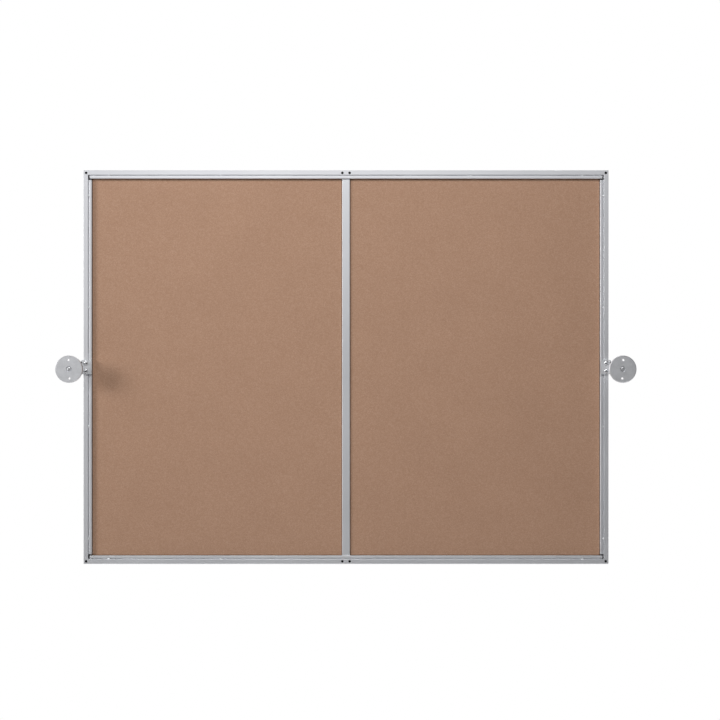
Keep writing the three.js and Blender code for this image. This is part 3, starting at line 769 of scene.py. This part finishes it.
def cross_cutter(reach, width, depth, taper=0.45):
    """Two crossed wedges, drawn downwards from just above y = 0."""
    above = CUTTER_ABOVE
    for index, turn in enumerate((0, 90)):
        vertices = []
        for y, scale in ((-above, 1.0 + above / depth * (1 - taper)), (depth, taper)):
            a, b = reach / 2 * scale * MM, width / 2 * (0.6 + 0.4 * scale) * MM
            vertices += [(-a, y * MM, -b), (a, y * MM, -b), (a, y * MM, b), (-a, y * MM, b)]
        faces = [(0, 1, 2, 3), (4, 5, 6, 7), (0, 1, 5, 4), (1, 2, 6, 5), (2, 3, 7, 6), (3, 0, 4, 7)]
        wedge = moved(outward(new_object("wedge", vertices, faces)), turn=(0, turn, 0))
        made = wedge if index == 0 else combined(made, wedge, "UNION")
    return made


def hex_cutter(across_flats, depth):
    radius = across_flats / math.sqrt(3)
    turns = [math.radians(60 * i) for i in range(6)]
    points = [(radius * math.cos(turn), radius * math.sin(turn)) for turn in turns]
    return plate("socket", points, -1, depth)


print("recess cutters ready")

# %% [markdown]
# ## Black screws in the corners and at the centre bar
# These pull the frame onto the keys inside it. They have small domed heads and a black oxide finish.

# %% Corner and bar screws
HEAD_EDGE = 0.08
DARK_EDGE = 0.05

dark = turned("dark_screw_master", [
    (0, 0), (1.0, 0.03), (1.9, 0.14), (2.5, 0.36), (2.76, 0.7), (2.8, 1.0), (2.8, 1.75), (2.75, 1.8),
    (1.6, 1.8), (1.6, 13.6), (1.3, 14.2), (0, 14.8)])
combined(dark, cross_cutter(3.4, 0.7, 1.3), "DIFFERENCE")
softened(dark, DARK_EDGE, 2, 35)
dark_nodes = [f"{a}_{b}_corner_screw" for a in ("top", "bottom") for b in SIDES]
dark_nodes += [f"bar_screw_{a}_{b}" for a in ("top", "bottom") for b in (1, 2)]
set_screws("dark_screws", dark, dark_nodes, "board", black_oxide)

# %% [markdown]
# ## Bright pan-head screws in the arms
# Two on each side hold the arm plate to the frame. A pan head has a flat top that rolls over into steep
# sides.

# %% Arm screws
ARM_HEAD = 2.8
pan = turned("arm_screw_master", [
    (0, 0), (1.6, 0.02), (2.6, 0.16), (3.4, 0.5), (4.0, 1.05), (4.35, 1.7), (4.48, 2.3), (4.5, ARM_HEAD),
    (2.35, ARM_HEAD), (2.35, ARM_HEAD + 13), (0, ARM_HEAD + 16)], ROUND)
combined(pan, cross_cutter(4.6, 0.95, 1.9), "DIFFERENCE")
softened(pan, HEAD_EDGE, 2, 35)
pan_nodes = [f"{side}_arm_screw_{end}" for side in SIDES for end in ("upper", "lower")]
set_screws("arm_screws", pan, pan_nodes, "board", zinc_plate)

# %% [markdown]
# ## Black rivets in the clevis blocks
# Blind rivets with a low domed head and the small pit that the broken pin leaves.

# %% Rivets
RIVET_EDGE = 0.03

rivet = turned("rivet_master", [
    (0, 0.28), (0.45, 0.28), (0.55, 0.04), (1.0, 0), (1.6, 0.1), (1.95, 0.28), (2.1, 0.5),
    (1.8, 0.5), (1.8, 6.8), (0, 6.8)])
rivet_nodes = [f"{side}_block_rivet_{end}" for side in SIDES for end in ("inner", "outer")]
softened(rivet, RIVET_EDGE, 2, 50)
set_screws("block_rivets", rivet, rivet_nodes, "board", black_oxide)

# %% [markdown]
# ## Centre screws of the wall plates
# The screw holds the plate to the post and lets the plate turn for mounting. Its low round head has a small
# hex socket.

# %% Plate screws
PLATE_SOCKET = 3.0
PLATE_SOCKET_DEPTH = 0.9

plate_screw_low, plate_screw_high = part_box("left_plate_screw")
plate_screw_length = (plate_screw_high.y - plate_screw_low.y) / MM
socket_screw = turned("plate_screw_master", [
    (0, 0), (1.9, 0.02), (3.1, 0.14), (4.0, 0.4), (4.6, 0.78), (4.95, 1.3), (5.0, 1.95), (4.95, 2.0),
    (3.0, 2.0), (3.0, plate_screw_length - 0.8), (2.3, plate_screw_length), (0, plate_screw_length)], ROUND)
combined(socket_screw, hex_cutter(PLATE_SOCKET, PLATE_SOCKET_DEPTH), "DIFFERENCE")
softened(socket_screw, HEAD_EDGE, 2, 35)
plate_screw_nodes = [f"{side}_plate_screw" for side in SIDES]
set_screws("plate_screws", socket_screw, plate_screw_nodes, "wall_posts", tumbled_zinc)

# %% [markdown]
# ## The wall plates
# A turned disc with a bevelled rim, a sunk seat for the centre screw and two screw holes on one diameter.
# The hole line leans outwards by three degrees on each side. The profile is spun, the holes are cut, and the
# edges are rounded last so that the hole mouths are softened too.

# %% Wall plates
CAST_EDGE = 0.3
PLATE_BEVEL = 1.4
HOLE_SPACING = 42
HOLE_RADIUS = 2.5
HOLE_LEAN = math.radians(3)
SEAT_RADIUS = 6.3
SEAT_DEPTH = 2.3
PLATE_BORE = 3.08
THROUGH = 6

for side, hand in SIDES.items():
    node = f"{side}_wall_plate"
    middle, extent = centre(node), size(node) / MM
    radius, thick = extent.x / 2, extent.y
    disc = turned(node + "_fine", [
        (PLATE_BORE, SEAT_DEPTH), (SEAT_RADIUS, SEAT_DEPTH), (SEAT_RADIUS, 0), (radius - PLATE_BEVEL, 0),
        (radius, PLATE_BEVEL), (radius, thick), (PLATE_BORE, thick)], 2 * ROUND, ring=True)
    for end in (-1, 1):
        reach = end * HOLE_SPACING / 2
        combined(disc, rod("hole", HOLE_RADIUS, hand * reach * math.sin(HOLE_LEAN), 0,
                           reach * math.cos(HOLE_LEAN), -1, THROUGH), "DIFFERENCE")
    softened(disc, CAST_EDGE)
    moved(disc, middle.x / MM, 0, middle.z / MM)
    finish_piece(disc, [node], body_of[node], mount_metal)

# %% [markdown]
# ## The posts
# Each post is a short barrel that ends in a flat tongue with a round end. The tilt bolt passes through it.

# %% Posts
PIVOT_DEPTH = 30
TONGUE_RADIUS = 7
TONGUE_HALF = 4
BARREL_END = 20.5
BARREL_CHAMFER = 0.8
BOLT_BORE = 3.08


def ear(start, radius):
    """A tab from a depth to a half circle round the pivot, in (y, z)."""
    toward = 1 if start < PIVOT_DEPTH else -1
    first, last = (-90, 90) if toward > 0 else (270, 90)
    return [(start, -radius), *arc(PIVOT_DEPTH, 0, radius, first, last, 24), (start, radius)]


for side in SIDES:
    node = f"{side}_post"
    middle, extent, low = centre(node), size(node) / MM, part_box(node)[0].y / MM
    radius = extent.x / 2
    barrel = turned(node + "_fine", [
        (0, low), (radius - BARREL_CHAMFER, low), (radius, low + BARREL_CHAMFER),
        (radius, BARREL_END - BARREL_CHAMFER), (radius - BARREL_CHAMFER, BARREL_END), (0, BARREL_END)], ROUND)
    tongue = plate("tongue", ear(BARREL_END - 2, TONGUE_RADIUS), -TONGUE_HALF, TONGUE_HALF, "X")
    combined(barrel, tongue, "UNION")
    combined(barrel, rod("bore", BOLT_BORE, 0, PIVOT_DEPTH, 0, -THROUGH, THROUGH, "X"), "DIFFERENCE")
    softened(barrel, CAST_EDGE)
    moved(barrel, middle.x / MM, 0, 0)
    finish_piece(barrel, [node], body_of[node], mount_metal)

# %% [markdown]
# ## The clevis blocks
# A clevis is a fork: two cheeks that straddle the tongue, standing on a flange that is riveted to the arm.

# %% Clevis blocks
CHEEK_INNER = 5.6
CHEEK_OUTER = 9.6
CHEEK_RADIUS = 8
FLANGE = 3
RIVET_BORE = 1.95

for side in SIDES:
    node = f"{side}_clevis_block"
    low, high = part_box(node)[0] / MM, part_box(node)[1] / MM
    pivot = centre(f"{side}_wall_plate") / MM
    flange_start = high.y - FLANGE
    flange = [(low.x, low.z), (high.x, low.z), (high.x, high.z), (low.x, high.z)]
    fork = plate(node + "_fine", flange, flange_start, high.y)
    for cheek in (-1, 1):
        edges = sorted(pivot.x + cheek * edge for edge in (CHEEK_INNER, CHEEK_OUTER))
        combined(fork, plate("cheek", ear(flange_start + 1, CHEEK_RADIUS), *edges, "X"), "UNION")
    bore_reach = CHEEK_OUTER + 2
    bolt_bore = rod("bore", BOLT_BORE, pivot.x, PIVOT_DEPTH, pivot.z, -bore_reach, bore_reach, "X")
    combined(fork, bolt_bore, "DIFFERENCE")
    for end in ("inner", "outer"):
        place = centre(f"{side}_block_rivet_{end}") / MM
        rivet_bore = rod("bore", RIVET_BORE, place.x, 0, place.z, flange_start - 1, high.y + 1)
        combined(fork, rivet_bore, "DIFFERENCE")
    softened(fork, CAST_EDGE)
    finish_piece(fork, [node], body_of[node], mount_metal)

# %% [markdown]
# ## The arm plates
# Cut from 3 mm plate: a wide pad over the frame, shoulders at 45 degrees just past the frame's edge, and a
# narrower neck out to the block. The blank's cut corners are rounded.

# %% Arm plates
ARM_CORNER = 1.5
NECK_HALF = 13
SHOULDER_START = 3.5
ARM_BORE = 2.5

for side, hand in SIDES.items():
    node = f"{side}_arm_plate"
    low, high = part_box(node)[0] / MM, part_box(node)[1] / MM
    inner, outer = sorted((abs(low.x), abs(high.x)))
    pad, r = (high.z - low.z) / 2, ARM_CORNER
    shoulder = frame_high.x / MM + SHOULDER_START
    upper = [*arc(inner + r, pad - r, r, 180, 90, 6), (shoulder, pad),
             (shoulder + pad - NECK_HALF, NECK_HALF), *arc(outer - r, NECK_HALF - r, r, 90, 0, 6)]
    blank = upper + [(x, -z) for x, z in reversed(upper)]
    arm = plate(node + "_fine", [(hand * x, board_middle.z / MM + z) for x, z in blank], low.y, high.y)
    bores = [(f"{side}_arm_screw_{end}", ARM_BORE) for end in ("upper", "lower")]
    bores += [(f"{side}_block_rivet_{end}", RIVET_BORE) for end in ("inner", "outer")]
    for fixing, radius in bores:
        place = centre(fixing) / MM
        combined(arm, rod("bore", radius, place.x, 0, place.z, low.y - 1, high.y + 1), "DIFFERENCE")
    softened(arm, CAST_EDGE)
    finish_piece(arm, [node], body_of[node], mount_metal)

# %% [markdown]
# ## Tilt bolts, nuts and washers
# The bolt runs through both cheeks and the tongue, head outwards. Two nylon washers sit beside the tongue and
# give the friction that holds the board at its angle.

# %% Tilt bolts
BOLT_RADIUS = 3
BOLT_HEAD_RADIUS = 5
BOLT_HEAD_LENGTH = 4
BOLT_SOCKET = 5.0
BOLT_SOCKET_DEPTH = 2.4
BOLT_EDGE = 0.1
BOLT_SEAT = CHEEK_OUTER + 0.3

for side, hand in SIDES.items():
    node = f"{side}_tilt_bolt"
    length = size(node).x / MM
    bolt = turned(node + "_fine", [
        (0, 0), (4.5, 0), (4.85, 0.15), (BOLT_HEAD_RADIUS, 0.5), (BOLT_HEAD_RADIUS, BOLT_HEAD_LENGTH),
        (BOLT_RADIUS, BOLT_HEAD_LENGTH), (BOLT_RADIUS, length - 0.6), (2.4, length), (0, length)], ROUND)
    combined(bolt, hex_cutter(BOLT_SOCKET, BOLT_SOCKET_DEPTH), "DIFFERENCE")
    softened(bolt, BOLT_EDGE, 2, 35)
    moved(bolt, turn=(0, 0, hand * 90))
    pivot = centre(f"{side}_wall_plate") / MM
    moved(bolt, pivot.x + hand * (BOLT_SEAT + BOLT_HEAD_LENGTH), PIVOT_DEPTH, pivot.z)
    finish_piece(bolt, [node], body_of[node], zinc_plate)

# %% [markdown]
# The nut is a hexagon with its corners turned off at 30 degrees. Common solids of the two shapes give it.

# %% Nuts
NUT_RADIUS = 5.6
NUT_FACE = 4.9
NUT_TURNED = 5.7
NUT_CHAMFER = 0.5

for side in SIDES:
    node = f"{side}_tilt_nut"
    middle, extent = centre(node) / MM, size(node) / MM
    corner_turn = 0 if extent.z > extent.y else 30
    half = extent.x / 2
    points = [(NUT_RADIUS * math.sin(math.radians(60 * i + corner_turn)),
               NUT_RADIUS * math.cos(math.radians(60 * i + corner_turn))) for i in range(6)]
    nut = plate(node + "_fine", points, -half, half, "X")
    rounded = turned("corners", [
        (0, -half), (NUT_FACE, -half), (NUT_TURNED, -half + NUT_CHAMFER),
        (NUT_TURNED, half - NUT_CHAMFER), (NUT_FACE, half), (0, half)])
    combined(nut, moved(rounded, turn=(0, 0, -90)), "INTERSECT")
    combined(nut, rod("bore", BOLT_BORE, 0, 0, 0, -THROUGH, THROUGH, "X"), "DIFFERENCE")
    softened(nut, HEAD_EDGE, 2, 25)
    moved(nut, *middle)
    finish_piece(nut, [node], body_of[node], zinc_plate)

# %% Washers
WASHER_HALF = 0.5
SWIVEL_RADIUS = 8.2
WASHER_EDGE = 0.12

washer = turned("friction_washer_master", [
    (BOLT_BORE, -WASHER_HALF), (TONGUE_RADIUS, -WASHER_HALF),
    (TONGUE_RADIUS, WASHER_HALF), (BOLT_BORE, WASHER_HALF)], ring=True)
softened(washer, WASHER_EDGE, 2)
moved(washer, turn=(0, 0, 90))
washer_nodes = [f"{side}_friction_washer_{i}" for side in SIDES for i in (1, 2)]
set_screws("friction_washers", washer, washer_nodes, "board", white_nylon, axis=(1, 0, 0))

swivel = turned("swivel_washer_master", [
    (PLATE_BORE, 0), (SWIVEL_RADIUS, 0), (SWIVEL_RADIUS, 1), (PLATE_BORE, 1)], ring=True)
softened(swivel, WASHER_EDGE, 2)
swivel_nodes = [f"{side}_swivel_washer" for side in SIDES]
set_screws("swivel_washers", swivel, swivel_nodes, "wall_posts", white_nylon)

# %% [markdown]
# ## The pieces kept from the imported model
# The core boards, the corner keys and the bar connectors are already the right shape: flat board and square
# moulded bars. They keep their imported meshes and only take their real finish.

# %% Finish the kept pieces
kept_finish = {"core_fibreboard": fibreboard, "black_plastic": black_nylon}
kept = [n for n in body_of if slot_of[n] in kept_finish]
for node in kept:
    materials = frame["nodes"][node].data.materials
    for index in range(len(materials)):
        materials[index] = kept_finish[slot_of[node]]
print("kept from the packed model:", kept)

# %% [markdown]
# ## Floor, light and camera
# A pale floor lies below the board and is not part of it. It glows faintly, as a floor does in a room full
# of light. On the wall's side a large soft light stands high in front and a second one far out on the left,
# so brightness falls from the upper left corner to the lower right one. A third lights the room's side. The
# world is white to look at, and lights the scene more softly than it looks.

# %% Floor
FLOOR_LEVEL = -1.3
FLOOR_NEAR = -3.0
FLOOR_FAR = 2.5
FLOOR_HALF = 3.0
FLOOR_GLOW = 0.2


def pale_floor():
    material, tree, shader, place = new_material("pale_studio_floor")
    cloud = add_node(tree, "ShaderNodeTexNoise", Vector=place, Scale=1.5, Detail=2.0)
    tree.links.new(ramp(tree, cloud.outputs["Fac"], [(0.3, tint("#ECECEC")), (0.7, tint("#F0F0F0"))]),
                   shader.inputs["Base Color"])
    shader.inputs["Roughness"].default_value = 0.9
    shader.inputs["Emission Color"].default_value = (1.0, 1.0, 1.0, 1.0)
    shader.inputs["Emission Strength"].default_value = FLOOR_GLOW
    floor = new_object("floor", [
        (-FLOOR_HALF, FLOOR_NEAR, FLOOR_LEVEL), (FLOOR_HALF, FLOOR_NEAR, FLOOR_LEVEL),
        (FLOOR_HALF, FLOOR_FAR, FLOOR_LEVEL), (-FLOOR_HALF, FLOOR_FAR, FLOOR_LEVEL)], [(0, 1, 2, 3)])
    floor.data.materials.append(material)


pale_floor()
print("floor at", FLOOR_LEVEL)

# %% Lights
WORLD_STRENGTH = 0.04


def soft_light(name, place, target, width, height, power):
    lamp = bpy.data.lights.new(name, "AREA")
    lamp.shape = "RECTANGLE"
    lamp.size = width
    lamp.size_y = height
    lamp.energy = power
    made = bpy.data.objects.new(name, lamp)
    made.location = place
    made.rotation_euler = (Vector(target) - Vector(place)).to_track_quat("-Z", "Y").to_euler()
    bpy.context.scene.collection.objects.link(made)
    return lamp


key = soft_light("key_light", (-0.2, -2.1, 2.2), (0.0, 0.0, 0.36), 1.4, 1.0, 24.0)
key.spread = math.radians(110)
side_lamp = soft_light("side_light", (-4.0, -1.9, 1.0), (-0.4, 0.0, 0.1), 1.2, 1.2, 16.0)
side_lamp.spread = math.radians(70)
soft_light("room_light", (0.4, 2.9, 1.8), (0.0, 0.0, 0.0), 2.0, 1.6, 90.0)

world = bpy.data.worlds.new("studio")
bpy.context.scene.world = world
world.use_nodes = True
world_tree = world.node_tree
back = world_tree.nodes["Background"]
back.inputs["Color"].default_value = (0.97, 0.98, 1.0, 1.0)
back.inputs["Strength"].default_value = WORLD_STRENGTH
seen = add_node(world_tree, "ShaderNodeBackground", Color=(1, 1, 1, 1), Strength=1.0)
path = add_node(world_tree, "ShaderNodeLightPath")
either = add_node(world_tree, "ShaderNodeMixShader")
world_tree.links.new(path.outputs["Is Camera Ray"], either.inputs[0])
world_tree.links.new(back.outputs[0], either.inputs[1])
world_tree.links.new(seen.outputs[0], either.inputs[2])
world_tree.links.new(either.outputs[0], world_tree.nodes["World Output"].inputs["Surface"])
bpy.context.scene.view_settings.view_transform = "Standard"
print("lights set")

# %% Camera
CAMERA_PLACE = (0.032, -4.527, 0.0208)
camera_data = bpy.data.cameras.new("camera")
camera_data.lens = 100
camera_data.sensor_width = 36
camera_data.clip_end = 50
camera = bpy.data.objects.new("camera", camera_data)
camera.location = CAMERA_PLACE
camera.rotation_euler = (math.radians(90), 0, 0)
bpy.context.scene.collection.objects.link(camera)
bpy.context.scene.camera = camera
print("camera at", CAMERA_PLACE)
